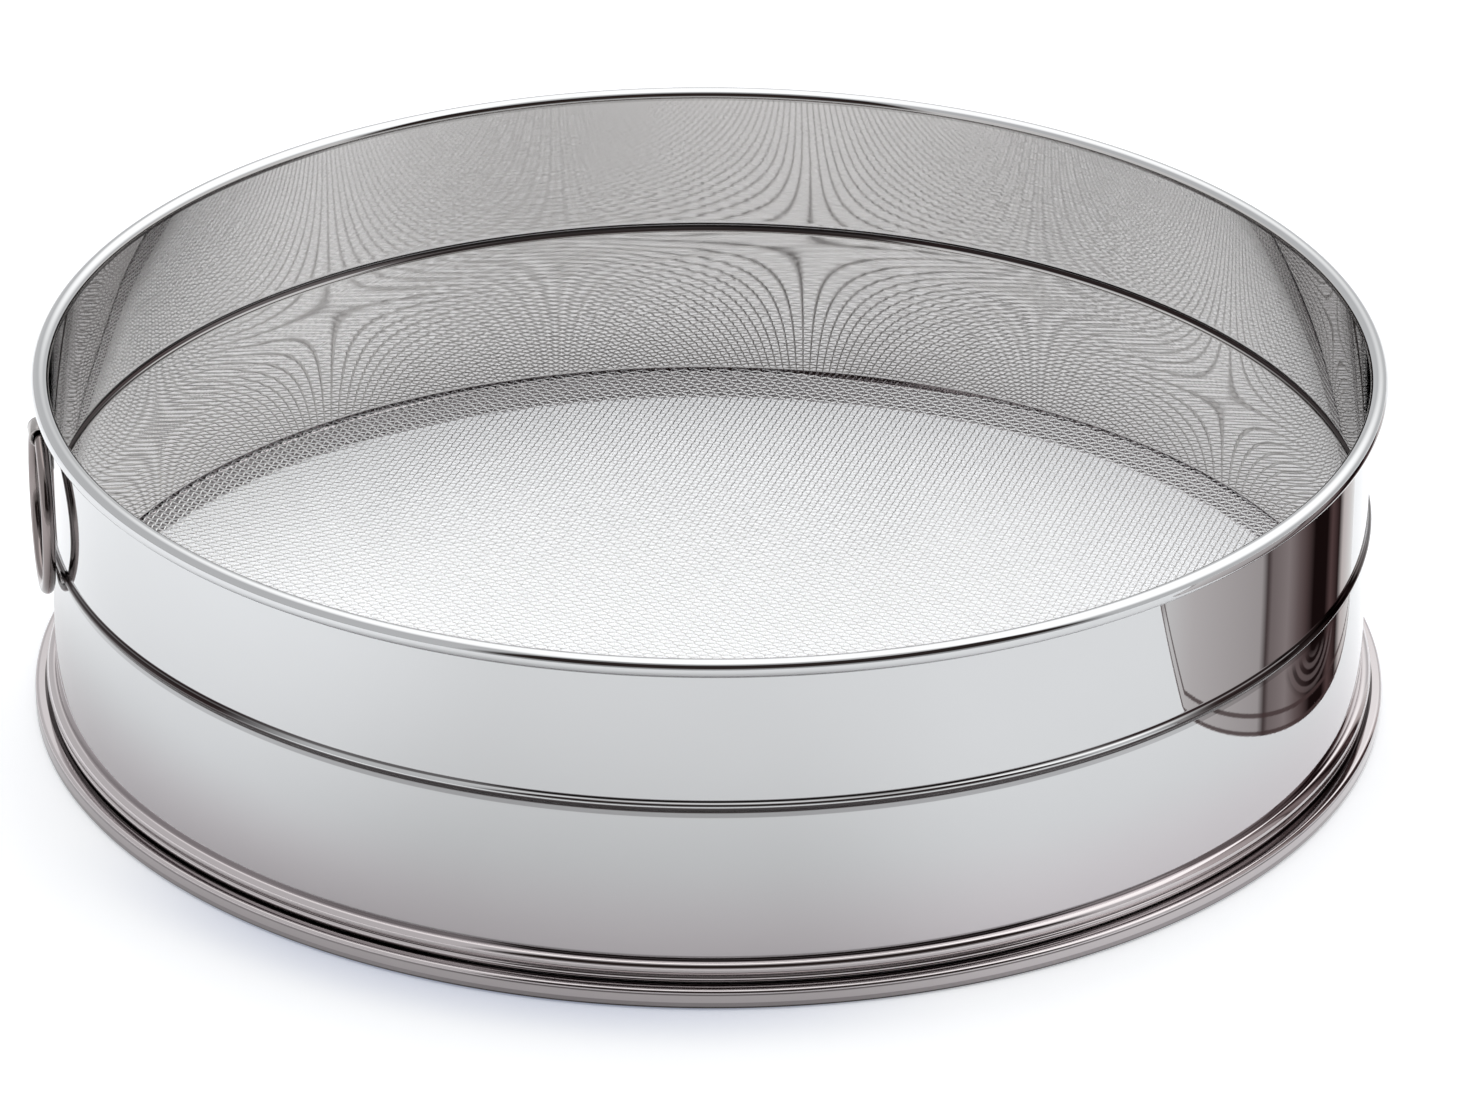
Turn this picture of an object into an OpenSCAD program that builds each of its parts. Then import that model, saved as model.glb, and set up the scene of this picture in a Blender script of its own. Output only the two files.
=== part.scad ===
// Tamis: a drum sieve of polished stainless steel, standing on its base ring.
// Z is up, the origin is the centre of the base, and the hanging ring is at -X.
//
// How it moves: the hanging ring swings on its strap, from the wall up and over to the rim.
// Nothing else moves. Rim, rib, clamp band and base ring are rolled and pressed together for good.

/* [Hoop] */
// Diameter over the rolled rim
hoop_d = 300; // [200:10:400]
// Height of the whole sieve
total_h = 81; // [70:1:110]
// Thickness of the sheet of the hoop and the base ring
sheet_t = 0.6; // [0.5:0.05:0.8]
// Diameter of the stiffening wire inside the rolled rim
rim_wire_d = 2.8; // [2.2:0.1:4]

/* [Rib] */
// Height of the rib's middle line over the table
rib_z = 45.9; // [35:0.1:50]
// How far the rib stands out of the wall
rib_out = 0.9; // [0.6:0.1:1.3]
// Outer radius of the rib's crown
rib_crown_r = 1.1; // [1:0.05:1.5]
// Radius of the hollow on each side of the rib
rib_side_r = 0.8; // [0.5:0.05:1.2]

/* [Cloth] */
// Height of the middle of the wire cloth over the table
cloth_z = 7.85; // [7.6:0.05:12]
// Diameter of the cloth's wires
cloth_wire_d = 0.45; // [0.3:0.05:0.6]
// Distance between the wires that are drawn, which stand for eleven times as many
net_pitch = 16.94; // [14:0.02:30]
// Turn of the cloth about the middle of the hoop
weave_turn = -26; // [-90:1:90]

/* [Clamp band] */
// Width of the flanges that hold the cloth, from the wall's outer face
flange_w = 1.3; // [1:0.05:1.5]
// Radius inside each flange's bend
flange_bend_r = 0.3; // [0.2:0.05:0.4]
// Radius of the band's round bead
band_r = 1.7; // [1.6:0.05:2]
// Distance of the bead's centre from the wall's outer face
band_out = 0.4; // [0.3:0.05:0.6]
// Radius of the tight curl along the band's lower edge
curl_r = 0.85; // [0.7:0.05:0.9]
// Distance of the curl's centre from the wall's outer face
curl_out = 0.9; // [0.7:0.05:1.1]

/* [Base ring] */
// How far the hem stands out of the wall's outer face
hem_out = 4.8; // [4.5:0.1:6]
// Diameter of the wire inside the hem
hem_wire_d = 3.4; // [3:0.1:3.6]
// Outer radius of the bend between the skirt and the foot
hem_inner_bend_r = 1.8; // [1.2:0.1:1.9]
// Outer radius of the bend between the foot and the hem's side
hem_foot_bend_r = 1.2; // [0.9:0.05:1.6]
// Outer radius of the bends along the hem's upper side
hem_top_bend_r = 0.9; // [0.8:0.05:1]
// Gap between the skirt and the edge of the hem's sheet
hem_gap = 0.5; // [0.3:0.05:0.7]

/* [Hanging ring] */
// Outer diameter of the hanging ring
ring_d = 39; // [32:1:45]
// Diameter of the ring's wire
ring_wire_d = 3; // [2.4:0.1:3.2]
// Gap between the ring's wire and the hoop's wall
ring_wall_gap = 0.7; // [0.7:0.05:1]
// Distance from the middle of the ring's wire in its strap up to the top of the sieve
ring_drop = 8.7; // [8.5:0.1:12]
// Clearance round the wire inside the strap
eye_clearance = 0.35; // [0.35:0.01:0.45]
// Thickness of the strap that holds the ring
strap_t = 0.6; // [0.5:0.05:0.6]
// Width of the strap
strap_w = 6; // [4:0.5:6]
// Radius inside the strap's bends
strap_bend_r = 0.3; // [0.2:0.05:0.3]
// Length of the strap's flat foot above the ring's wire
strap_upper_foot = 1.8; // [1:0.1:1.8]
// Length of the strap's flat foot below the ring's wire
strap_lower_foot = 5; // [4:0.5:8]

/* [Fits] */
// Gap between layers that are rolled or pressed together
press_gap = 0.02; // [0.01:0.01:0.04]
// Gap between the rim's sheet edge and the wall
edge_gap = 0.06; // [0.04:0.01:0.1]
// Gap between the band's curl and the hem under it
curl_gap = 0.1; // [0.05:0.01:0.15]
// How far the cloth's wires end short of the flanges' edges
cloth_edge_gap = 0.1; // [0.05:0.01:0.2]

/* [Hidden] */

// Facets of a full turn round the hoop, of a small round section and of a straight wire
turn_fn = 180;
section_fn = 48;
wire_fn = 24;
// Steps along each bend of sheet
bend_steps = 8;

// The rim: the sheet is rolled outward round its wire, and the roll stays within hoop_d
rim_roll_r = rim_wire_d / 2 + press_gap + sheet_t;
wall_in_r = hoop_d / 2 - 2 * rim_roll_r;
wall_out_r = wall_in_r + sheet_t;
rim_centre_r = wall_in_r + rim_roll_r;
rim_centre_z = total_h - rim_roll_r;
rim_open_angle = acos(1 - (sheet_t + edge_gap) / rim_roll_r);

// The rib: a crown arc that meets the wall through two hollow arcs of the same sheet
rib_crown_at = wall_out_r + rib_out - rib_crown_r;
rib_side_at = wall_out_r + rib_side_r;
rib_side_dz = sqrt(pow(rib_crown_r + rib_side_r, 2) - pow(rib_side_at - rib_crown_at, 2));
rib_angle = atan2(rib_side_dz, rib_side_at - rib_crown_at);

// The stack inside the clamp band: hoop flange, two layers of wires, base flange
wire_layer_z = (cloth_wire_d + press_gap) / 2;
flange_near_z = cloth_wire_d + 1.5 * press_gap;
flange_far_z = flange_near_z + sheet_t;
flange_end_r = wall_out_r + flange_w;
flange_bend_at = wall_out_r + flange_bend_r;
flange_bend_z = flange_far_z + flange_bend_r;
slot_half_h = flange_far_z + press_gap;

// The band's bead and its curl, which lies just over the hem
hem_h = hem_wire_d + 2 * (sheet_t + press_gap);
curl_z = hem_h + curl_gap + curl_r;
band_face_r = wall_out_r + press_gap;

// The cloth: wires across the disc, as far out as the flanges hold them
cloth_r = flange_end_r - cloth_edge_gap;
wires_each_side = floor((cloth_r - 2 * cloth_wire_d) / net_pitch);

// The base ring's hem
hem_end_r = wall_out_r + hem_out;
hem_lip_r = wall_out_r + hem_gap;
hem_wire_at = (wall_out_r + hem_end_r - sheet_t) / 2;

// The hanging ring and its strap
ring_wire_r = ring_wire_d / 2;
ring_pivot_r = wall_out_r + ring_wall_gap + ring_wire_r;
ring_pivot_z = total_h - ring_drop;
ring_turn_r = ring_d / 2 - ring_wire_r;
eye_r = ring_wire_r + eye_clearance;
strap_face_r = wall_out_r + press_gap;

// Points along an arc about (x, y), in even steps
function arc_points(x, y, r, from, to) =
    [for (i = [0:bend_steps]) [x, y] + r * [cos(from + (to - from) * i / bend_steps),
                                            sin(from + (to - from) * i / bend_steps)]];

// A bend of sheet in the section plane: from r_in to r_out about (x, y)
module bend(x, y, r_in, r_out, from, to) {
    polygon(concat(arc_points(x, y, r_out, from, to), arc_points(x, y, r_in, to, from)));
}

// A straight stretch of sheet in the section plane, between two corners
module flat(x0, y0, x1, y1) {
    translate([x0, y0])
        square([x1 - x0, y1 - y0]);
}

module turned() {
    rotate_extrude($fn = turn_fn)
        children();
}

// The hoop's strip: rolled rim, wall with its rib, and the flange that lies on the cloth
module hoop_section() {
    difference() {
        translate([rim_centre_r, rim_centre_z])
            circle(r = rim_roll_r, $fn = section_fn);
        translate([rim_centre_r, rim_centre_z])
            circle(r = rim_roll_r - sheet_t, $fn = section_fn);
        translate([rim_centre_r, rim_centre_z])
            polygon(concat([[0, 0]], arc_points(0, 0, 2 * rim_roll_r, 180, 180 + rim_open_angle)));
    }
    flat(wall_in_r, rib_z + rib_side_dz, wall_out_r, rim_centre_z);
    bend(rib_side_at, rib_z + rib_side_dz, rib_side_r, rib_side_r + sheet_t, 180, 180 + rib_angle);
    bend(rib_crown_at, rib_z, rib_crown_r - sheet_t, rib_crown_r, -rib_angle, rib_angle);
    bend(rib_side_at, rib_z - rib_side_dz, rib_side_r, rib_side_r + sheet_t, 180 - rib_angle, 180);
    flat(wall_in_r, cloth_z + flange_bend_z, wall_out_r, rib_z - rib_side_dz);
    bend(flange_bend_at, cloth_z + flange_bend_z, flange_bend_r, flange_bend_r + sheet_t, 180, 270);
    flat(flange_bend_at, cloth_z + flange_near_z, flange_end_r, cloth_z + flange_far_z);
}

// The base ring's strip: the flange under the cloth, the skirt, and the hem round its wire
module base_section() {
    flat(flange_bend_at, cloth_z - flange_far_z, flange_end_r, cloth_z - flange_near_z);
    bend(flange_bend_at, cloth_z - flange_bend_z, flange_bend_r, flange_bend_r + sheet_t, 90, 180);
    flat(wall_in_r, hem_inner_bend_r, wall_out_r, cloth_z - flange_bend_z);
    bend(wall_in_r + hem_inner_bend_r, hem_inner_bend_r,
         hem_inner_bend_r - sheet_t, hem_inner_bend_r, 180, 270);
    flat(wall_in_r + hem_inner_bend_r, 0, hem_end_r - hem_foot_bend_r, sheet_t);
    bend(hem_end_r - hem_foot_bend_r, hem_foot_bend_r, hem_foot_bend_r - sheet_t, hem_foot_bend_r, 270, 360);
    flat(hem_end_r - sheet_t, hem_foot_bend_r, hem_end_r, hem_h - hem_top_bend_r);
    bend(hem_end_r - hem_top_bend_r, hem_h - hem_top_bend_r,
         hem_top_bend_r - sheet_t, hem_top_bend_r, 0, 90);
    flat(hem_lip_r + hem_top_bend_r, hem_h - sheet_t, hem_end_r - hem_top_bend_r, hem_h);
    bend(hem_lip_r + hem_top_bend_r, hem_h - hem_top_bend_r,
         hem_top_bend_r - sheet_t, hem_top_bend_r, 90, 180);
}

// The clamp band: a strip pressed round the flanges, with its lower edge in a tight curl
module band_section() {
    difference() {
        union() {
            translate([wall_out_r + band_out, cloth_z])
                circle(r = band_r, $fn = section_fn);
            translate([wall_out_r + curl_out, curl_z])
                circle(r = curl_r, $fn = section_fn);
            flat(wall_out_r, curl_z, wall_out_r + band_out, cloth_z);
        }
        flat(wall_out_r - 2 * band_r, 0, band_face_r, cloth_z + 2 * band_r);
        flat(wall_out_r, cloth_z - slot_half_h, flange_end_r + press_gap, cloth_z + slot_half_h);
        flat(wall_out_r, cloth_z - flange_bend_z, flange_bend_at, cloth_z + flange_bend_z);
    }
}

// Straight wires side by side across the disc, each as long as its place allows
module wire_layer() {
    for (i = [-wires_each_side:wires_each_side]) {
        half_length = sqrt(pow(cloth_r, 2) - pow(abs(i) * net_pitch + cloth_wire_d / 2, 2));
        translate([0, i * net_pitch, 0])
            rotate([0, 90, 0])
                cylinder(r = cloth_wire_d / 2, h = 2 * half_length, center = true, $fn = wire_fn);
    }
}

// One half of the strap, above the ring's wire: quarter eye, bend and foot
module strap_half(foot) {
    bend(ring_pivot_r, 0, eye_r, eye_r + strap_t, 0, 90);
    flat(strap_face_r + strap_t + strap_bend_r, eye_r, ring_pivot_r, eye_r + strap_t);
    bend(strap_face_r + strap_t + strap_bend_r, eye_r + strap_t + strap_bend_r,
         strap_bend_r, strap_bend_r + strap_t, 180, 270);
    flat(strap_face_r, eye_r + strap_t + strap_bend_r,
         strap_face_r + strap_t, eye_r + strap_t + strap_bend_r + foot);
}

module hoop_wall() {
    color([0.80, 0.80, 0.81])
        turned()
            hoop_section();
}

module rim_wire() {
    color([0.62, 0.62, 0.63])
        turned()
            translate([rim_centre_r, rim_centre_z])
                circle(r = rim_wire_d / 2, $fn = section_fn);
}

module clamp_band() {
    color([0.66, 0.64, 0.63])
        turned()
            band_section();
}

module mesh_warp_wires() {
    color([0.86, 0.87, 0.88])
        translate([0, 0, cloth_z + wire_layer_z])
            rotate([0, 0, weave_turn])
                wire_layer();
}

module mesh_weft_wires() {
    color([0.83, 0.84, 0.85])
        translate([0, 0, cloth_z - wire_layer_z])
            rotate([0, 0, weave_turn + 90])
                wire_layer();
}

module base_ring() {
    color([0.70, 0.68, 0.67])
        turned()
            base_section();
}

module hem_wire() {
    color([0.62, 0.62, 0.63])
        turned()
            translate([hem_wire_at, hem_h / 2])
                circle(r = hem_wire_d / 2, $fn = section_fn);
}

module ring_clip() {
    color([0.70, 0.69, 0.68])
        translate([0, 0, ring_pivot_z])
            rotate([90, 0, 180])
                linear_extrude(height = strap_w, center = true) {
                    strap_half(strap_upper_foot);
                    mirror([0, 1])
                        strap_half(strap_lower_foot);
                }
}

module hanging_ring() {
    color([0.50, 0.48, 0.47])
        translate([-ring_pivot_r, 0, ring_pivot_z - ring_turn_r])
            rotate([0, 90, 0])
                rotate_extrude($fn = turn_fn)
                    translate([ring_turn_r, 0])
                        circle(r = ring_wire_r, $fn = section_fn);
}

hoop_wall();
rim_wire();
clamp_band();
mesh_warp_wires();
mesh_weft_wires();
base_ring();
hem_wire();
ring_clip();
hanging_ring();
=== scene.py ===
import math

import bmesh
import bpy
import numpy as np
from mathutils import Matrix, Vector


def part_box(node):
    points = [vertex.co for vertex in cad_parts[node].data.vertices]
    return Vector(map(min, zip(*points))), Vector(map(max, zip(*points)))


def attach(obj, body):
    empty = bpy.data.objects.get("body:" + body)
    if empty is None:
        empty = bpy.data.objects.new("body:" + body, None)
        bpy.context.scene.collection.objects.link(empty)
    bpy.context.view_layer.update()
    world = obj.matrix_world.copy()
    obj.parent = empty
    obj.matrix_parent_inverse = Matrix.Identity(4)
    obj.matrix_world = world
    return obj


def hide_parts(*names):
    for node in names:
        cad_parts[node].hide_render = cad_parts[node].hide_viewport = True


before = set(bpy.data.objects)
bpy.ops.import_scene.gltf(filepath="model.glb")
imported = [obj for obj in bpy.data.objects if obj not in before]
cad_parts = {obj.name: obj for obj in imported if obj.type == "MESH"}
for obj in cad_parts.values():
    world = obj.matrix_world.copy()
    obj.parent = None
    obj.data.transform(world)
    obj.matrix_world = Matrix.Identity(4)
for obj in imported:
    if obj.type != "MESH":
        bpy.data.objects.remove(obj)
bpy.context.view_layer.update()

# The view. The sieve is seen from the front and a little above, through a long lens, with the
# hanging ring at the left edge of the hoop.
MM = 0.001
camera_away = 1702.7 * MM
camera_up = 881.3 * MM
camera_turn = math.radians(9)
camera_pitch = math.radians(26.481)
camera_yaw = math.radians(0.157)
camera_roll = math.radians(0.283)
camera_data = bpy.data.cameras.new("camera")
camera_data.lens = 209.6
camera_data.sensor_width = 36
camera_data.clip_end = 40
camera = bpy.data.objects.new("camera", camera_data)
bpy.context.collection.objects.link(camera)
camera_place = (-camera_away * math.sin(camera_turn), -camera_away * math.cos(camera_turn), camera_up)
camera.matrix_world = (
    Matrix.Translation(camera_place)
    @ Matrix.Rotation(-camera_yaw - camera_turn, 4, "Z")
    @ Matrix.Rotation(math.pi / 2 - camera_pitch, 4, "X")
    @ Matrix.Rotation(camera_roll, 4, "Z")
)
bpy.context.scene.camera = camera
bpy.context.scene.view_settings.view_transform = "Standard"


# The studio. White cloth hangs all round the sieve, with a bright sheet lamp above it, and an opening
# for the camera, whose dark room polished steel shows as thin dark lines with softer edges.
cloth_white = (0.86, 0.865, 0.875)
lamp_white = (2.0, 2.0, 2.0)
lamp_begins = math.cos(math.radians(54))
lamp_full = math.cos(math.radians(32))
room_dark = (0.040, 0.030, 0.028)
opening_side = math.cos(math.radians(52))
opening_side_soft = 0.06
opening_foot = ((0.06, 0.14), (0.24, 0.34))
opening_head = ((0.80, 0.86), (0.94, 0.97))


class Link:
    """A socket among a material's nodes. Arithmetic on it adds Math nodes."""

    def __init__(self, tree, socket=None):
        self.tree = tree
        self.socket = socket

    def node(self, kind, settings=None, inputs=None, out=0):
        """A node of this kind: its settings are set first, then its sockets' values or links."""
        made = self.tree.nodes.new(kind)
        for name, value in (settings or {}).items():
            if name == "stops":
                ramp = made.color_ramp.elements
                while len(ramp) < len(value):
                    ramp.new(0.5)
                for stop, (place, tone) in zip(ramp, value):
                    stop.position = place
                    stop.color = (*tone, 1) if isinstance(tone, tuple) else (tone, tone, tone, 1)
            else:
                setattr(made, name, value)
        for name, value in (inputs or {}).items():
            socket = next((s for s in made.inputs if s.identifier == name), None) or made.inputs[name]
            if isinstance(value, Link):
                self.tree.links.new(value.socket, socket)
            elif isinstance(value, tuple) and len(value) == 3 and socket.type == "RGBA":
                socket.default_value = (*value, 1)
            else:
                socket.default_value = value
        if not made.outputs:
            return None
        if isinstance(out, int):
            return Link(self.tree, made.outputs[out])
        found = next((s for s in made.outputs if s.identifier == out), None)
        return Link(self.tree, found or made.outputs[out])

    def other(self, name):
        """Another output of the same node."""
        return Link(self.tree, self.socket.node.outputs[name])

    def maths(self, operation, *values):
        return self.node("ShaderNodeMath", {"operation": operation},
                         dict(zip(("Value", "Value_001"), values)))

    def __add__(self, other):
        return self.maths("ADD", self, other)

    def __radd__(self, other):
        return self.maths("ADD", other, self)

    def __sub__(self, other):
        return self.maths("SUBTRACT", self, other)

    def __rsub__(self, other):
        return self.maths("SUBTRACT", other, self)

    def __mul__(self, other):
        return self.maths("MULTIPLY", self, other)

    def __rmul__(self, other):
        return self.maths("MULTIPLY", other, self)

    def __truediv__(self, other):
        return self.maths("DIVIDE", self, other)

    def __rtruediv__(self, other):
        return self.maths("DIVIDE", other, self)

    def blend(self, low, high):
        """A colour between low and high, by this value."""
        return self.node("ShaderNodeMix", {"data_type": "RGBA"},
                         {"Factor_Float": self, "A_Color": low, "B_Color": high}, "Result_Color")

    def rise(self, start, end):
        """0 below start, 1 above end, and smooth between."""
        return self.node("ShaderNodeMapRange", {"interpolation_type": "SMOOTHSTEP"},
                         {"Value": self, "From Min": start, "From Max": end})

    def between(self, low, high, soft):
        """1 between low and high, and 0 outside, with both edges this soft."""
        return self.rise(low - soft, low + soft) * (1 - self.rise(high - soft, high + soft))

    def axes(self):
        """This vector's x, y and z."""
        parts = self.node("ShaderNodeSeparateXYZ", inputs={"Vector": self})
        return [parts.other(name) for name in "XYZ"]

    def along(self, way):
        """How far this vector goes along a direction."""
        return self.node("ShaderNodeVectorMath", {"operation": "DOT_PRODUCT"},
                         {"Vector": self, "Vector_001": way}, "Value")

    def unit(self):
        """This vector's direction, with a length of 1."""
        return self.node("ShaderNodeVectorMath", {"operation": "NORMALIZE"}, {"Vector": self})

    def noise(self, scale, detail):
        """Uneven light and dark, from 0 to 1, at this place."""
        return self.node("ShaderNodeTexNoise",
                         inputs={"Vector": self, "Scale": scale, "Detail": detail}, out="Fac")


def way_to(level, up=0):
    """The direction these degrees round from the picture's right, towards its back, and up."""
    level = math.radians(level) - camera_turn
    up = math.radians(up)
    return (math.cos(up) * math.cos(level), math.cos(up) * math.sin(level), math.sin(up))


def half_steps(height, first, second):
    """From 0 to 1 in two soft steps of a half each."""
    return height.rise(*first) * 0.5 + height.rise(*second) * 0.5


lamp_way = way_to(52, 66)
opening_way = way_to(-76)
world = bpy.data.worlds.new("studio")
bpy.context.scene.world = world
world.use_nodes = True
world.node_tree.nodes.clear()
tent = Link(world.node_tree)
look = tent.node("ShaderNodeTexCoord", out="Generated")
look_up = look.axes()[2]
look_level = tent.node("ShaderNodeVectorMath", {"operation": "MULTIPLY"},
                       {"Vector": look, "Vector_001": (1.0, 1.0, 0.0)})
in_lamp = look.along(lamp_way).rise(lamp_begins, lamp_full)
in_opening = look_level.unit().along(opening_way).rise(opening_side - opening_side_soft,
                                                       opening_side + opening_side_soft)
in_opening = in_opening * half_steps(look_up, *opening_foot) * (1 - half_steps(look_up, *opening_head))
tent_colour = in_opening.blend(in_lamp.blend(cloth_white, lamp_white), room_dark)
background = tent.node("ShaderNodeBackground", inputs={"Color": tent_colour, "Strength": 1.0})
tent.node("ShaderNodeOutputWorld", inputs={"Surface": background})


# The table. It is a plain white sheet that runs out of the picture. The camera sees the sieve's
# shadow on it, with painted shade that makes it deeper and bluer at the front left. Steel sees
# painted light that makes it brighter beside the sieve and under the cloth, and painted shade that
# makes it darker at the sieve's foot.
table_white = (0.75, 0.75, 0.75)
table_half = 6.0
glow = 0.45
glow_colour = (0.94, 0.965, 1.0)
shadow_colour = (0.52, 0.58, 0.74)
shadow_way = way_to(-110)
shadow_side = (0.74, 0.99)
shadow_end = (0.152, 0.170)
hem_edge = (0.140, 0.150)
left_side = (0.4, 0.95)
left_begins = (0.145, 0.200)
left_glow = 0.26
right_side = (0.1, 0.6)
right_glow = 0.08
foot_end = (0.155, 0.32)
foot_glow = -0.24
foot_less_left = 0.3
foot_less_right = 0.9
under_begins = (0.04, 0.11)
under_end = (0.138, 0.146)
under_glow = 0.28


def bare_material(name):
    """A new material with no nodes, and the Link that its nodes start from."""
    material = bpy.data.materials.new(name)
    material.use_nodes = True
    material.node_tree.nodes.clear()
    return material, Link(material.node_tree)


def studio_sheet(name, corners, faces, material):
    """A sheet of the studio, which is no piece of the sieve."""
    mesh = bpy.data.meshes.new(name)
    mesh.from_pydata(corners, [], faces)
    mesh.materials.append(material)
    made = bpy.data.objects.new(name, mesh)
    bpy.context.collection.objects.link(made)
    return made


table_paper, paper = bare_material("table_paper")
to_camera = paper.node("ShaderNodeLightPath", out="Is Camera Ray")
in_steel = to_camera.other("Is Glossy Ray")
through_glass = to_camera.other("Is Transmission Ray")
seen = paper.maths("MAXIMUM", paper.maths("MAXIMUM", to_camera, in_steel), through_glass)
paper_place = paper.node("ShaderNodeTexCoord", out="Object")
paper_out = paper.node("ShaderNodeVectorMath", {"operation": "LENGTH"}, {"Vector": paper_place}, "Value")
paper_way = paper_place.unit()
to_right = paper_way.along(way_to(0))
at_right = to_right.rise(*right_side)
at_left = (to_right * -1.0).rise(*left_side) * paper_out.rise(*left_begins)
at_foot = (1 - paper_out.rise(*foot_end)) * (1 - at_right * foot_less_right - at_left * foot_less_left)
beside = paper_out.rise(*hem_edge) * (at_left * left_glow + at_right * right_glow + at_foot * foot_glow)
under = (1 - paper_out.rise(*under_end)) * paper_out.rise(*under_begins) * under_glow
in_shadow = to_camera * paper_way.along(shadow_way).rise(*shadow_side) * (1 - paper_out.rise(*shadow_end))
paper_light = paper.node("ShaderNodeVectorMath", {"operation": "SCALE"},
                         {"Vector": in_shadow.blend(glow_colour, shadow_colour),
                          "Scale": seen * glow + in_steel * (beside + under)})
paper_glow = paper.node("ShaderNodeEmission", inputs={"Color": paper_light, "Strength": 1.0})
paper_white = paper.node("ShaderNodeBsdfDiffuse", inputs={"Color": table_white})
paper_both = paper.node("ShaderNodeAddShader", inputs={"Shader": paper_white, "Shader_001": paper_glow})
paper.node("ShaderNodeOutputMaterial", inputs={"Surface": paper_both})
table_corners = [(-table_half, -table_half, 0), (table_half, -table_half, 0),
                 (table_half, table_half, 0), (-table_half, table_half, 0)]
table = studio_sheet("table", table_corners, [(0, 1, 2, 3)], table_paper)


# The side card. It is low and curved, and stands on the table out of the picture, at the right. It only
# shows in the steel, as a broad brown band with darker lines. Its lower front corner is cut away.
card_r = 151.0
card_right = 320.0
card_back = -27.0
card_h = 77.0
card_first = -22
card_last = 40
card_steps = 62
card_corner = 31.5
card_slant = 2.4
paint_shift = 1.5
paint_first = -20.0
paint_last = 44.0
card_stripes = [
    (0.0, 0.9), (0.20, (0.6, 0.54, 0.53)), (0.24, (0.02, 0.01, 0.01)), (0.29, (0.10, 0.06, 0.06)),
    (0.32, (0.01, 0.005, 0.005)), (0.38, (0.01, 0.005, 0.005)), (0.41, (0.09, 0.06, 0.06)),
    (0.44, (0.16, 0.12, 0.12)), (0.48, (0.30, 0.25, 0.25)), (0.535, (0.22, 0.18, 0.18)),
    (0.55, (0.07, 0.05, 0.05)), (0.57, (0.46, 0.42, 0.42)), (0.80, (0.64, 0.60, 0.60)),
    (0.92, (0.78, 0.76, 0.76)), (0.955, (0.42, 0.38, 0.38)), (0.97, 0.85), (1.0, 0.92)]
card_light = 1.25
loop_turn = 3.5
loop_z = 17
loop_narrow = 0.62
loop_fine = 2.3
loop_waves = (-0.5, 0.6)
loop_out_ends = (9, 13)
loop_up_ends = (-4, 0)
loop_light = (0.17, 0.13, 0.13)
loop_dark = (0.015, 0.008, 0.008)
loop_strength = 0.7
foot_lines = ((0.2, 1.2), (4.6, 5.8))
foot_line_soft = 0.2
foot_line_brown = (0.08, 0.05, 0.05)
foot_line_strength = 0.85
card_x = card_right * math.cos(camera_turn) + card_back * math.sin(camera_turn)
card_y = card_back * math.cos(camera_turn) - card_right * math.sin(camera_turn)
card_corners = []
for i in range(card_steps + 1):
    turn = card_first + (card_last - card_first) * i / card_steps
    away, along = way_to(180 + turn)[:2]
    for height in (max(0, turn - card_corner) * card_slant, card_h):
        card_corners.append(((card_x + card_r * away) * MM, (card_y + card_r * along) * MM, height * MM))
card_faces = [(2 * i, 2 * i + 1, 2 * i + 3, 2 * i + 2) for i in range(card_steps)]
card_paint, brown = bare_material("side_card")
spot_x, spot_y, spot_z = brown.node("ShaderNodeTexCoord", out="Object").axes()
card_turn = brown.maths("ARCTAN2", card_y * MM - spot_y, card_x * MM - spot_x) * math.degrees(1)
card_turn = card_turn + math.degrees(camera_turn) + paint_shift
stripes = brown.node("ShaderNodeMapRange",
                     inputs={"Value": card_turn, "From Min": paint_first, "From Max": paint_last})
card_tone = brown.node("ShaderNodeValToRGB", {"stops": card_stripes}, {"Fac": stripes}, "Color")
loop_across = (card_turn - loop_turn) * (card_r * math.radians(1) * loop_narrow)
loop_up = spot_z / MM - loop_z
loop_out = brown.maths("SQRT", loop_across * loop_across + loop_up * loop_up)
in_loops = (1 - loop_out.rise(*loop_out_ends)) * (1 - loop_up.rise(*loop_up_ends)) * loop_strength
loops = brown.maths("SINE", loop_out * loop_fine).rise(*loop_waves).blend(loop_light, loop_dark)
card_tone = in_loops.blend(card_tone, loops)
cut = brown.maths("MAXIMUM", card_turn - (card_corner + paint_shift), 0.0) * card_slant
above_edge = spot_z / MM - cut
foot_line = sum(above_edge.between(low, high, foot_line_soft) for low, high in foot_lines)
card_tone = (foot_line * foot_line_strength).blend(card_tone, foot_line_brown)
# Painted reflection: the card's glowing colour stands for a neighbouring steel sieve, with painted shade
# for the dark gap between the two.
card_glow = brown.node("ShaderNodeEmission", inputs={"Color": card_tone, "Strength": card_light})
brown.node("ShaderNodeOutputMaterial", inputs={"Surface": card_glow})
card = studio_sheet("side_card", card_corners, card_faces, card_paint)
card.visible_camera = False
card.visible_diffuse = False
card.visible_shadow = False


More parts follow.
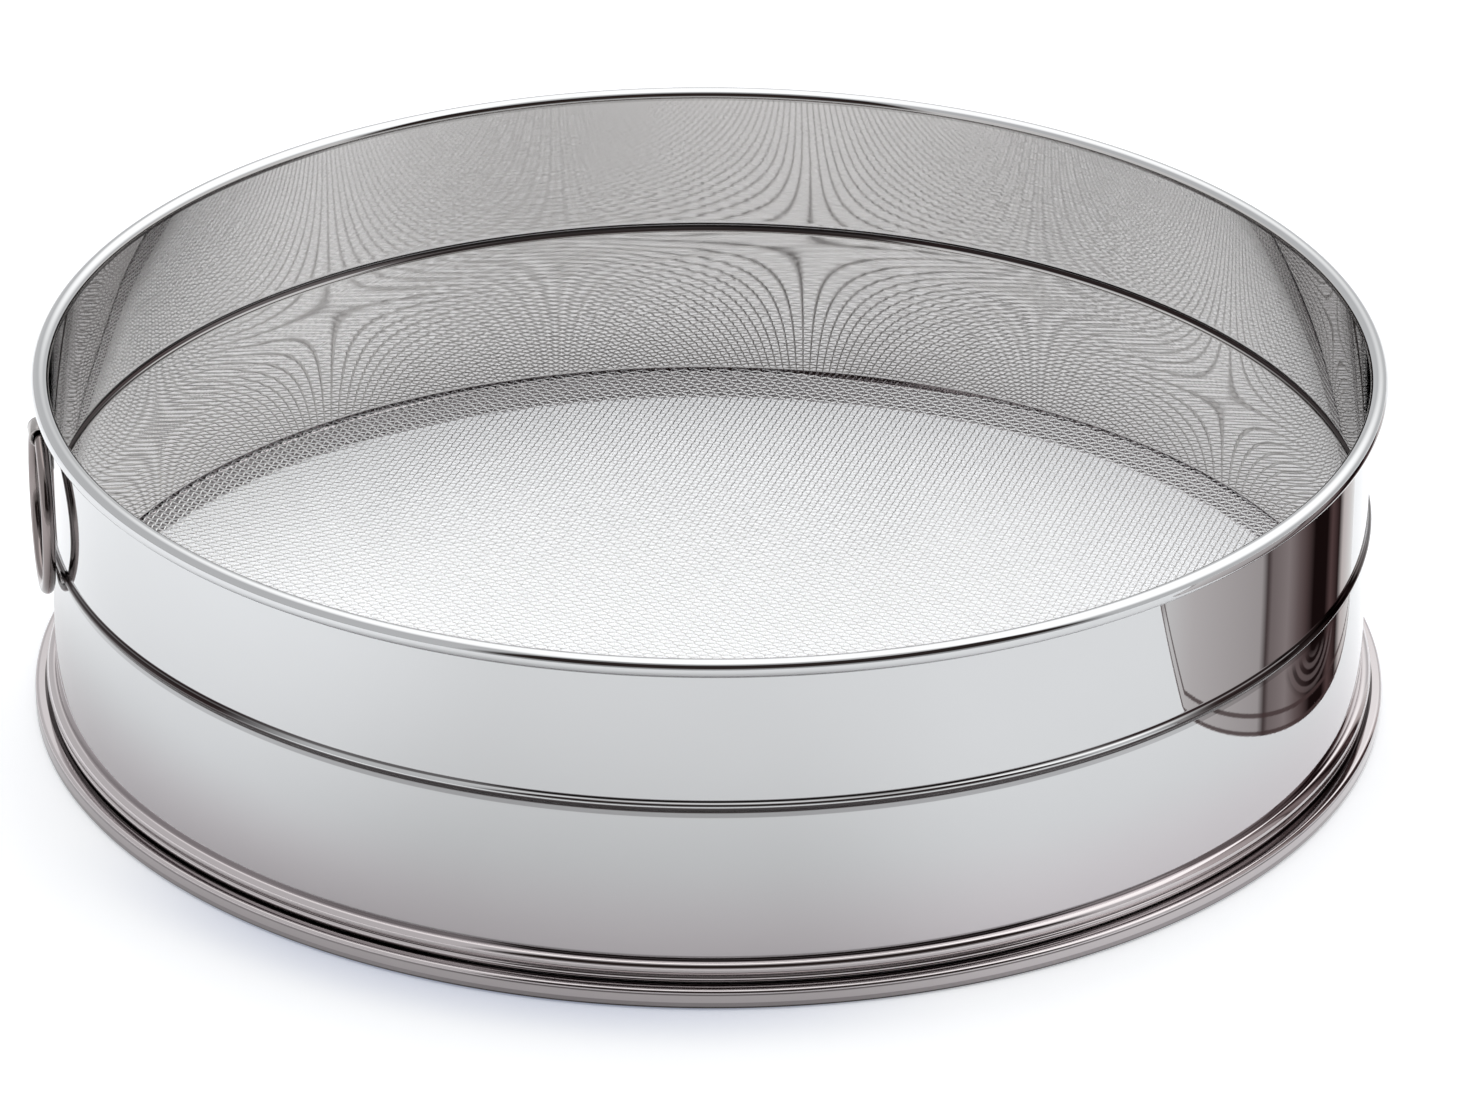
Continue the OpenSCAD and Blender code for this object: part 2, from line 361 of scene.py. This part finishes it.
# The hoop. It is one strip of polished stainless sheet, rolled round, butt-welded behind the strap
# of the hanging ring, with its top edge rolled outward round a wire, one rib rolled outward, and
# its lower edge turned out as a flange over the wire cloth.
sheet = 0.6
rim_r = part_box("hoop_wall")[1][0] / MM
hoop_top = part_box("hoop_wall")[1][2] / MM
rim_roll = 2.02
rim_open = 47.7
wall_in = rim_r - 2 * rim_roll
wall_out = wall_in + sheet
rim_mid = wall_in + rim_roll
rim_mid_z = hoop_top - rim_roll
rib_z = 45.9
rib_out = 0.9
rib_crown = 1.1
rib_side = 0.8
rib_crown_at = wall_out + rib_out - rib_crown
rib_side_at = wall_out + rib_side
rib_side_dz = math.sqrt((rib_crown + rib_side) ** 2 - (rib_side_at - rib_crown_at) ** 2)
rib_turn = math.degrees(math.atan2(rib_side_dz, rib_side_at - rib_crown_at))
cloth_z = 7.85
flange_near = 0.48
flange_far = flange_near + sheet
flange_bend = 0.3
flange_end = wall_out + 1.3
flange_bend_at = wall_out + flange_bend
flange_bend_z = flange_far + flange_bend
hoop_turns = 840


def arc(r, z, radius, start, end, step=7.5):
    """Points of a round stretch of a section, about (r, z), in even steps of about `step` degrees."""
    count = max(2, round(abs(end - start) / step))
    turns = [math.radians(start + (end - start) * i / count) for i in range(count + 1)]
    return [(r + radius * math.cos(t), z + radius * math.sin(t)) for t in turns]


def with_rows(outline, spacing=8.5, edge=0.06, shortest=1.0):
    """The outline with more points on its long straight stretches, close to each end and along it."""
    points = []
    for (r0, z0), (r1, z1) in zip(outline, outline[1:] + outline[:1]):
        length = math.hypot(r1 - r0, z1 - z0)
        if length < 1e-6:
            continue
        points.append((r0, z0))
        if length > shortest:
            inner = max(1, round(length / spacing))
            places = [edge] + [length * i / inner for i in range(1, inner)] + [length - edge]
            points += [(r0 + (r1 - r0) * p / length, z0 + (z1 - z0) * p / length) for p in places]
    return points


def piece_from(name, corners, faces, body, hard_angle=40):
    """A mesh piece of the sieve from its corners in millimetres, with hard edges kept hard."""
    mesh = bpy.data.meshes.new(name)
    mesh.vertices.add(len(corners))
    mesh.vertices.foreach_set("co", (np.asarray(corners, dtype=np.float32) * MM).ravel())
    faces = np.asarray(faces, dtype=np.int32)
    mesh.loops.add(faces.size)
    mesh.loops.foreach_set("vertex_index", faces.ravel())
    mesh.polygons.add(len(faces))
    mesh.polygons.foreach_set("loop_start", np.arange(len(faces), dtype=np.int32) * faces.shape[1])
    mesh.polygons.foreach_set("use_smooth", np.ones(len(faces), dtype=bool))
    mesh.update(calc_edges=True)
    mesh.validate()
    if hard_angle:
        mesh.set_sharp_from_angle(angle=math.radians(hard_angle))
    piece = bpy.data.objects.new(name, mesh)
    bpy.context.collection.objects.link(piece)
    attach(piece, body)
    return piece


def turned_piece(name, outline, turns, shift=None):
    """A closed section turned about the hoop's axis. shift moves the sheet in or out a little."""
    section = np.array(with_rows(outline))
    rows = len(section)
    angle = np.linspace(0, 2 * math.pi, turns, endpoint=False)[:, None]
    radius = section[None, :, 0] + np.zeros_like(angle)
    height = section[None, :, 1] + np.zeros_like(angle)
    if shift:
        radius = radius + shift(angle, height)
    corners = np.stack([radius * np.cos(angle), radius * np.sin(angle), height], axis=2).reshape(-1, 3)
    turn, row = np.meshgrid(np.arange(turns), np.arange(rows), indexing="ij")
    next_turn = (turn + 1) % turns
    next_row = (row + 1) % rows
    faces = np.stack([turn * rows + row, next_turn * rows + row,
                      next_turn * rows + next_row, turn * rows + next_row], axis=2).reshape(-1, 4)
    return piece_from(name, corners, faces, "drum")


hoop_outline = (
    [(flange_end, cloth_z + flange_near)]
    + arc(flange_bend_at, cloth_z + flange_bend_z, flange_bend + sheet, 270, 180, 15)
    + arc(rib_side_at, rib_z - rib_side_dz, rib_side + sheet, 180, 180 - rib_turn, 10)
    + arc(rib_crown_at, rib_z, rib_crown - sheet, -rib_turn, rib_turn, 20)
    + arc(rib_side_at, rib_z + rib_side_dz, rib_side + sheet, 180 + rib_turn, 180, 10)
    + arc(rim_mid, rim_mid_z, rim_roll, 180, rim_open - 180, 10)
    + arc(rim_mid, rim_mid_z, rim_roll - sheet, rim_open - 180, 180, 30)
    + arc(rib_side_at, rib_z + rib_side_dz, rib_side, 180, 180 + rib_turn, 12)
    + arc(rib_crown_at, rib_z, rib_crown, rib_turn, -rib_turn, 10)
    + arc(rib_side_at, rib_z - rib_side_dz, rib_side, 180 - rib_turn, 180, 12)
    + arc(flange_bend_at, cloth_z + flange_bend_z, flange_bend, 180, 270, 22.5)
    + [(flange_end, cloth_z + flange_far)]
)

chance = np.random.default_rng(7)
wave_counts = np.arange(3, 34)
wave_size = 0.05
wave_fall = 0.9
wave_sizes = wave_size / wave_counts ** wave_fall * chance.uniform(0.5, 1.5, len(wave_counts))
wave_starts = chance.uniform(0, 2 * math.pi, len(wave_counts))
wave_leans = chance.uniform(-0.05, 0.05, len(wave_counts))
stiff_reach = ((rib_z, 6), (hoop_top, 8), (cloth_z, 6))


def sheet_waves(angle, height):
    """The slight waves that rolling leaves in a thin wall, fading out at the rim, rib and flange."""
    waves = sum(size * np.sin(count * angle + start + lean * height)
                for count, size, start, lean in zip(wave_counts, wave_sizes, wave_starts, wave_leans))
    for stiff_z, reach in stiff_reach:
        waves = waves * (1 - np.exp(-((height - stiff_z) / reach) ** 2))
    return waves


hoop = turned_piece("hoop", hoop_outline, hoop_turns, sheet_waves)
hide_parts("hoop_wall")

no_end = 1000.0


def painted_crease_shade(low, high, near, dark, side, left=0.5, right=0.8, far=no_end):
    """Painted shade along a fold of the sheet, where shade and dark reflections fall.

    It lies between two heights and two radii. Its darkness is `dark` at the front, and `side` beyond
    these shares of the radius to the left and to the right.
    """
    return low, high, near, far, dark, side, left, right


line_round = 2.5
line_fine = 2600
line_bump = 0.01
line_depth = 0.0001
smear_scale = 22.0
smear_ends = (0.55, 0.75)
smear_rough = 0.015
smear_grey = (0.3, 0.3, 0.3)
smear_tone = 0.1
speck_scale = 900.0
speck_ends = (0.7, 0.76)
speck_rough = 0.04
painted_foot_tint_low = 10
painted_foot_tint_high = 36
inner_tone_near = wall_in + 0.25
inner_tone_far = wall_in + 0.35
painted_shade_brown = (0.022, 0.014, 0.014)
painted_shade_soft_z = 0.12
painted_shade_soft_r = 0.05
painted_shade_soft_side = 0.08
painted_shade_least = 0.9
painted_shade_lines = 0.2


def polished_steel(name, tone, dull=0.012, lines=0.014, painted_crease_shades=(), inner_tone=None, painted_foot_tint=None):
    """Bright polished stainless steel, with the fine lines that polishing leaves round the hoop."""
    steel, finish = bare_material(name)
    place = finish.node("ShaderNodeTexCoord", out="Object")
    x, y, z = place.axes()
    out = finish.maths("SQRT", x * x + y * y)
    across = x / out
    round_lines = finish.node("ShaderNodeCombineXYZ", inputs={
        "X": finish.maths("ARCTAN2", y, x) * line_round, "Y": z * line_fine, "Z": out * line_fine})
    line = round_lines.noise(1.0, 3.0)
    smear = place.noise(smear_scale, 4.0)
    speck = place.noise(speck_scale, 1.0)
    roughness = dull + line * lines
    roughness = roughness + smear.rise(*smear_ends) * smear_rough + speck.rise(*speck_ends) * speck_rough
    # Painted reflection: the colour is tinted mauve towards the foot, where the steel reflects the shaded
    # table.
    if painted_foot_tint:
        tone = z.rise(painted_foot_tint_low * MM, painted_foot_tint_high * MM).blend(painted_foot_tint, tone)
    if inner_tone:
        tone = out.rise(inner_tone_near * MM, inner_tone_far * MM).blend(inner_tone, tone)
    colour = (smear * smear_tone).blend(tone, smear_grey)
    # Painted shade: each band darkens the colour towards brown, by `dark` at the front and `side` at the
    # left and right.
    for low, high, near, far, dark, side, left, right in painted_crease_shades:
        inside = z.between(low * MM, high * MM, painted_shade_soft_z * MM)
        inside = inside * out.between(near * MM, far * MM, painted_shade_soft_r * MM)
        at_side = across.rise(right - painted_shade_soft_side, right + painted_shade_soft_side)
        at_side = at_side + across.rise(painted_shade_soft_side - left, -painted_shade_soft_side - left)
        inside = inside * (at_side * (side - dark) + dark) * (painted_shade_least + line * painted_shade_lines)
        colour = inside.blend(colour, painted_shade_brown)
    bump = finish.node("ShaderNodeBump",
                       inputs={"Strength": line_bump, "Distance": line_depth, "Height": line})
    metal = finish.node("ShaderNodeBsdfPrincipled", inputs={
        "Base Color": colour, "Metallic": 1.0, "Roughness": roughness, "Normal": bump})
    finish.node("ShaderNodeOutputMaterial", inputs={"Surface": metal})
    return steel


# Painted shade darkens bands along the rib, most at the left and right, a line inside the wall at the
# rim's height, and a band just above the clamp band. A painted reflection tints the wall towards its
# foot.
hoop.data.materials.append(polished_steel(
    "hoop_steel", (0.51, 0.515, 0.52), inner_tone=(0.585, 0.57, 0.56), painted_foot_tint=(0.525, 0.495, 0.508),
    painted_crease_shades=[
        painted_crease_shade(rib_z + 0.95, rib_z + 1.5, wall_out - 0.3, dark=0.78, side=1.0, left=0.74, right=0.42),
        painted_crease_shade(rib_z + 0.1, rib_z + 0.95, wall_out - 0.3, dark=0.0, side=1.0, left=0.74, right=0.55),
        painted_crease_shade(rib_z - 1.6, rib_z + 0.1, wall_out - 0.3, dark=0.93, side=1.0, left=0.74, right=0.42),
        painted_crease_shade(rib_z - 2.7, rib_z - 1.6, wall_out - 0.3, dark=0.4, side=0.3, left=0.74, right=0.42),
        painted_crease_shade(rib_z - 1.5, rib_z + 1.5, wall_in + 0.08, dark=0.0, side=0.85, left=0.86, right=0.93,
               far=wall_out - 0.3),
        painted_crease_shade(rim_mid_z - 0.35, rim_mid_z + 0.35, 0, dark=0.25, side=0.8, far=wall_in + 0.3),
        painted_crease_shade(cloth_z + 1.7, cloth_z + 2.5, wall_out - 0.3, dark=0.5, side=0.2, left=0.7, right=0.7)]))


# The clamp band. A strip of the same steel is rolled and pressed round the hoop's flange, the edge
# of the cloth and the base ring's flange, and its lower edge ends in a tight curl.
fit_gap = 0.02
bead_r = 1.7
bead_at = wall_out + 0.4
curl_r = 0.85
curl_at = wall_out + 0.9
hem_h = 4.64
curl_z = hem_h + 0.1 + curl_r
band_face = wall_out + fit_gap
slot_end = flange_end + fit_gap
slot_half = flange_far + fit_gap
bead_to_curl = math.hypot(curl_at - bead_at, curl_z - cloth_z)
bead_share = (bead_r ** 2 - curl_r ** 2 + bead_to_curl ** 2) / (2 * bead_to_curl)
bead_way = math.degrees(math.atan2(curl_z - cloth_z, curl_at - bead_at))
bead_meets = bead_way + math.degrees(math.acos(bead_share / bead_r))
curl_meets = bead_way + 180 - math.degrees(math.acos((bead_to_curl - bead_share) / curl_r))
bead_starts = math.degrees(math.acos((band_face - bead_at) / bead_r))
strip_turns = 720
lower_tone = (0.50, 0.463, 0.467)
band_outline = (
    arc(bead_at, cloth_z, bead_r, bead_starts, bead_meets)
    + arc(curl_at, curl_z, curl_r, curl_meets, -180)
    + [(band_face, curl_z),
       (band_face, cloth_z - flange_bend_z), (flange_bend_at, cloth_z - flange_bend_z),
       (flange_bend_at, cloth_z - slot_half), (slot_end, cloth_z - slot_half),
       (slot_end, cloth_z + slot_half), (flange_bend_at, cloth_z + slot_half),
       (flange_bend_at, cloth_z + flange_bend_z), (band_face, cloth_z + flange_bend_z)]
)
band = turned_piece("clamp_band_strip", band_outline, strip_turns)
# Painted shade darkens the gap between the curl and the hem, and a line above the curl.
band.data.materials.append(polished_steel("band_steel", lower_tone, dull=0.035, lines=0.04, painted_crease_shades=[
    painted_crease_shade(hem_h - 0.3, hem_h + 0.4, wall_out, dark=0.8, side=0.93),
    painted_crease_shade(curl_z + 0.75, curl_z + 1.15, wall_out, dark=0.6, side=0.6)]))
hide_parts("clamp_band")


# The base ring. The same sheet goes from the flange under the cloth down the skirt, and out, up
# and back over a wire, pressed to a flat-sided hem that the sieve stands on.
hem_end = -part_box("base_ring")[0][0] / MM - 0.01
hem_inner_bend = 1.8
hem_foot_bend = 1.2
hem_top_bend = 0.9
hem_lip = wall_out + 0.5
base_outline = (
    [(flange_end, cloth_z - flange_near)]
    + arc(flange_bend_at, cloth_z - flange_bend_z, flange_bend + sheet, 90, 180)
    + arc(wall_in + hem_inner_bend, hem_inner_bend, hem_inner_bend, 180, 270)
    + arc(hem_end - hem_foot_bend, hem_foot_bend, hem_foot_bend, 270, 360)
    + arc(hem_end - hem_top_bend, hem_h - hem_top_bend, hem_top_bend, 0, 90)
    + arc(hem_lip + hem_top_bend, hem_h - hem_top_bend, hem_top_bend, 90, 180)
    + arc(hem_lip + hem_top_bend, hem_h - hem_top_bend, hem_top_bend - sheet, 180, 90, 15)
    + arc(hem_end - hem_top_bend, hem_h - hem_top_bend, hem_top_bend - sheet, 90, 0, 15)
    + arc(hem_end - hem_foot_bend, hem_foot_bend, hem_foot_bend - sheet, 360, 270, 15)
    + arc(wall_in + hem_inner_bend, hem_inner_bend, hem_inner_bend - sheet, 270, 180, 15)
    + arc(flange_bend_at, cloth_z - flange_bend_z, flange_bend, 180, 90, 15)
    + [(flange_end, cloth_z - flange_far)]
)
base = turned_piece("base_hem", base_outline, strip_turns)
# Painted shade darkens the hem's top beside the curl, a line below its outer top bend, its foot and the
# stretch above it, and the skirt's inner face under the cloth.
base.data.materials.append(polished_steel("base_steel", lower_tone, dull=0.045, lines=0.05, painted_crease_shades=[
    painted_crease_shade(hem_h - 0.5, hem_h + 0.6, wall_out, dark=0.3, side=0.93, far=hem_end - 2.2),
    painted_crease_shade(hem_h - 1.15, hem_h - 0.8, hem_end - 0.4, dark=0.7, side=0.4),
    painted_crease_shade(-0.5, 0.8, hem_end - 1.5, dark=0.95, side=0.85),
    painted_crease_shade(0.8, 1.8, hem_end - 1.5, dark=0.4, side=0.3),
    painted_crease_shade(0.3, cloth_z - 0.4, 0, dark=0.75, side=0.75, far=wall_in + 0.1)]))
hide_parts("base_ring")


# The wire cloth. Two sets of thin stainless wires pass over and under each other in a plain weave,
# stretched flat, with their ends held between the flanges. Each strip below holds some forty wires.
wire_d = 0.36
weave_pitch = 1.54
weave_turn = math.radians(-26)
cloth_r = flange_end - 0.1
wire_sides = 6
steps_per_wire = 2
strips = 5
wire_tones = ((0.80, 0.80, 0.80), (0.90, 0.90, 0.90))
wire_grain_scale = 350.0
wire_grain_share = 0.6
wire_cloud_scale = 14.0
wire_cloud_share = 0.4
wire_rough = 0.27
wire_rough_grain = 0.1


def woven_wires(name, turn, over, numbers):
    """Wires side by side along one direction, each bent over and under the wires that cross it."""
    corners = []
    faces = []
    first = 0
    around = np.linspace(0, 2 * math.pi, wire_sides, endpoint=False)
    for number in numbers:
        side = (number + 0.5) * weave_pitch
        reach = math.sqrt(cloth_r ** 2 - (abs(side) + wire_d) ** 2)
        count = int(reach / weave_pitch * steps_per_wire)
        along = np.arange(-count, count + 1) / steps_per_wire * weave_pitch
        phase = math.pi * (along / weave_pitch - 0.5)
        swing = wire_d / 2 * (over if number % 2 else -over)
        height = swing * np.cos(phase)
        lean = np.arctan(-swing * math.pi / weave_pitch * np.sin(phase))
        across = wire_d / 2 * np.cos(around)[None, :]
        up = wire_d / 2 * np.sin(around)[None, :]
        u = along[:, None] - up * np.sin(lean)[:, None]
        v = side + across + 0 * u
        w = height[:, None] + up * np.cos(lean)[:, None]
        x = u * math.cos(turn) - v * math.sin(turn)
        y = u * math.sin(turn) + v * math.cos(turn)
        corners.append(np.stack([x, y, cloth_z + w], axis=2).reshape(-1, 3))
        ring, side_number = np.meshgrid(np.arange(len(along) - 1), np.arange(wire_sides), indexing="ij")
        next_side = (side_number + 1) % wire_sides
        start = first + ring * wire_sides
        faces.append(np.stack([start + side_number, start + wire_sides + side_number,
                               start + wire_sides + next_side, start + next_side], axis=2).reshape(-1, 4))
        first += len(along) * wire_sides
    return piece_from(name, np.concatenate(corners), np.concatenate(faces), "drum", None)


wire_steel, finish = bare_material("cloth_wire")
wire_place = finish.node("ShaderNodeTexCoord", out="Object")
wire_grain = wire_place.noise(wire_grain_scale, 2.0)
wire_cloud = wire_place.noise(wire_cloud_scale, 2.0)
wire_colour = (wire_grain * wire_grain_share + wire_cloud * wire_cloud_share).blend(*wire_tones)
wire_metal = finish.node("ShaderNodeBsdfPrincipled", inputs={
    "Base Color": wire_colour, "Metallic": 1.0, "Roughness": wire_rough + wire_grain * wire_rough_grain})
finish.node("ShaderNodeOutputMaterial", inputs={"Surface": wire_metal})

half_count = int((cloth_r - 2 * wire_d) / weave_pitch - 0.5)
edges = [round(-half_count + (2 * half_count) * i / strips) for i in range(strips + 1)]
wire_sets = (("warp", "mesh_warp_wires", 0.0, 1), ("weft", "mesh_weft_wires", math.pi / 2, -1))
for set_name, node, turn, over in wire_sets:
    for strip in range(strips):
        wires = woven_wires(f"cloth_{set_name}_{strip + 1}", weave_turn + turn, over,
                            range(edges[strip], edges[strip + 1]))
        wires.data.materials.append(wire_steel)
        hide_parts(node)


# The stiffening wires. A plain drawn wire lies inside the rolled rim, and a thicker one in the hem.
# The sheet hides them, apart from what its open edge leaves bare.
drawn_wire = polished_steel("hidden_wire", (0.5, 0.49, 0.48), dull=0.25, lines=0.1)
for name in ("rim_wire", "hem_wire"):
    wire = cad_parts[name]
    wire.data.materials.clear()
    wire.data.materials.append(drawn_wire)


# The hanging ring. It is a round wire, bent to a circle and butt-welded, and it hangs in the strap.
ring_wire = 1.5
ring_r = 18.0
ring_less = 0.04
ring_steps = 240
ring_sides = 36
pivot_at = wall_out + 0.7 + ring_wire
pivot_z = hoop_top - 8.7
ring_drawn = ring_wire - ring_less
ring_angle = np.linspace(0, 2 * math.pi, ring_steps, endpoint=False)[:, None]
wire_angle = np.linspace(0, 2 * math.pi, ring_sides, endpoint=False)[None, :]
ring_radius = ring_r + ring_drawn * np.cos(wire_angle)
ring_corners = np.stack([
    -pivot_at - ring_drawn * np.sin(wire_angle) + 0 * ring_angle,
    ring_radius * np.cos(ring_angle),
    pivot_z - ring_r + ring_radius * np.sin(ring_angle),
], axis=2).reshape(-1, 3)
step, side = np.meshgrid(np.arange(ring_steps), np.arange(ring_sides), indexing="ij")
step_start = step * ring_sides
next_start = (step + 1) % ring_steps * ring_sides
next_side = (side + 1) % ring_sides
ring_faces = np.stack([step_start + side, next_start + side,
                       next_start + next_side, step_start + next_side], axis=2).reshape(-1, 4)
ring = piece_from("hanging_loop", ring_corners, ring_faces, "hanging_ring", None)
# The ring's steel is painted darker than the hoop's, as painted shade for the dark surroundings that it
# reflects.
ring.data.materials.append(polished_steel("ring_steel", (0.22, 0.19, 0.185), dull=0.10, lines=0.05))
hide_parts("hanging_ring")


# The ring's strap. A short strip of sheet is bent over the ring's wire like a saddle, and its two
# flat feet, a short one above and a longer one below, are spot-welded to the wall.
strap_t = 0.6
strap_w = 6.0
strap_bend = 0.3
strap_edge = 0.12
strap_hard_angle = 50
strap_face = wall_out + fit_gap
strap_front = strap_face + strap_t
strap_corner = strap_front + strap_bend
eye = ring_wire + 0.35
upper_foot = 1.8
lower_foot = 5.0


def strap_side(gap, bend, foot, face):
    """One face of the strap above the ring's wire, from the end of its foot to over the wire."""
    return ([(face, eye + strap_t + strap_bend + foot)]
            + arc(strap_corner, eye + strap_t + strap_bend, bend, 180, 270, 12)
            + arc(pivot_at, 0, eye + gap, 90, 0, 8))


strap_outline = (
    strap_side(strap_t, strap_bend, upper_foot, strap_front)
    + [(r, -z) for r, z in strap_side(strap_t, strap_bend, lower_foot, strap_front)[::-1][1:]]
    + [(r, -z) for r, z in strap_side(0, strap_bend + strap_t, lower_foot, strap_face)]
    + strap_side(0, strap_bend + strap_t, upper_foot, strap_face)[::-1][1:]
)
strap_near = -strap_w / 2
strap_sheet = bmesh.new()
strap_corners = []
for r, z in strap_outline:
    strap_corners.append(strap_sheet.verts.new((-r * MM, strap_near * MM, (pivot_z + z) * MM)))
strap_plate = strap_sheet.faces.new(strap_corners)
grown = bmesh.ops.extrude_face_region(strap_sheet, geom=[strap_plate])["geom"]
grown_corners = [part for part in grown if isinstance(part, bmesh.types.BMVert)]
bmesh.ops.translate(strap_sheet, vec=(0, strap_w * MM, 0), verts=grown_corners)
bmesh.ops.recalc_face_normals(strap_sheet, faces=strap_sheet.faces)
strap_edges = [e for e in strap_sheet.edges if e.calc_face_angle(0) > math.radians(strap_hard_angle)]
bmesh.ops.bevel(strap_sheet, geom=strap_edges, offset=strap_edge * MM,
                segments=2, profile=0.5, affect="EDGES")
strap_mesh = bpy.data.meshes.new("ring_strap")
strap_sheet.to_mesh(strap_mesh)
strap_sheet.free()
for face in strap_mesh.polygons:
    face.use_smooth = True
strap_mesh.set_sharp_from_angle(angle=math.radians(40))
strap = bpy.data.objects.new("ring_strap", strap_mesh)
bpy.context.collection.objects.link(strap)
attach(strap, "drum")
# Painted shade darkens the strap where it bends round the ring's wire.
strap_painted_shades = [
    painted_crease_shade(pivot_z + eye + 0.2, pivot_z + eye + strap_t + 0.4, 0,
           dark=0.6, side=0.6, far=strap_front + 0.3),
    painted_crease_shade(pivot_z - eye - strap_t - 0.4, pivot_z - eye - 0.2, 0,
           dark=0.6, side=0.6, far=strap_front + 0.3)]
strap.data.materials.append(
    polished_steel("clip_steel", (0.34, 0.32, 0.31), dull=0.16, lines=0.12, painted_crease_shades=strap_painted_shades))
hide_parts("ring_clip")
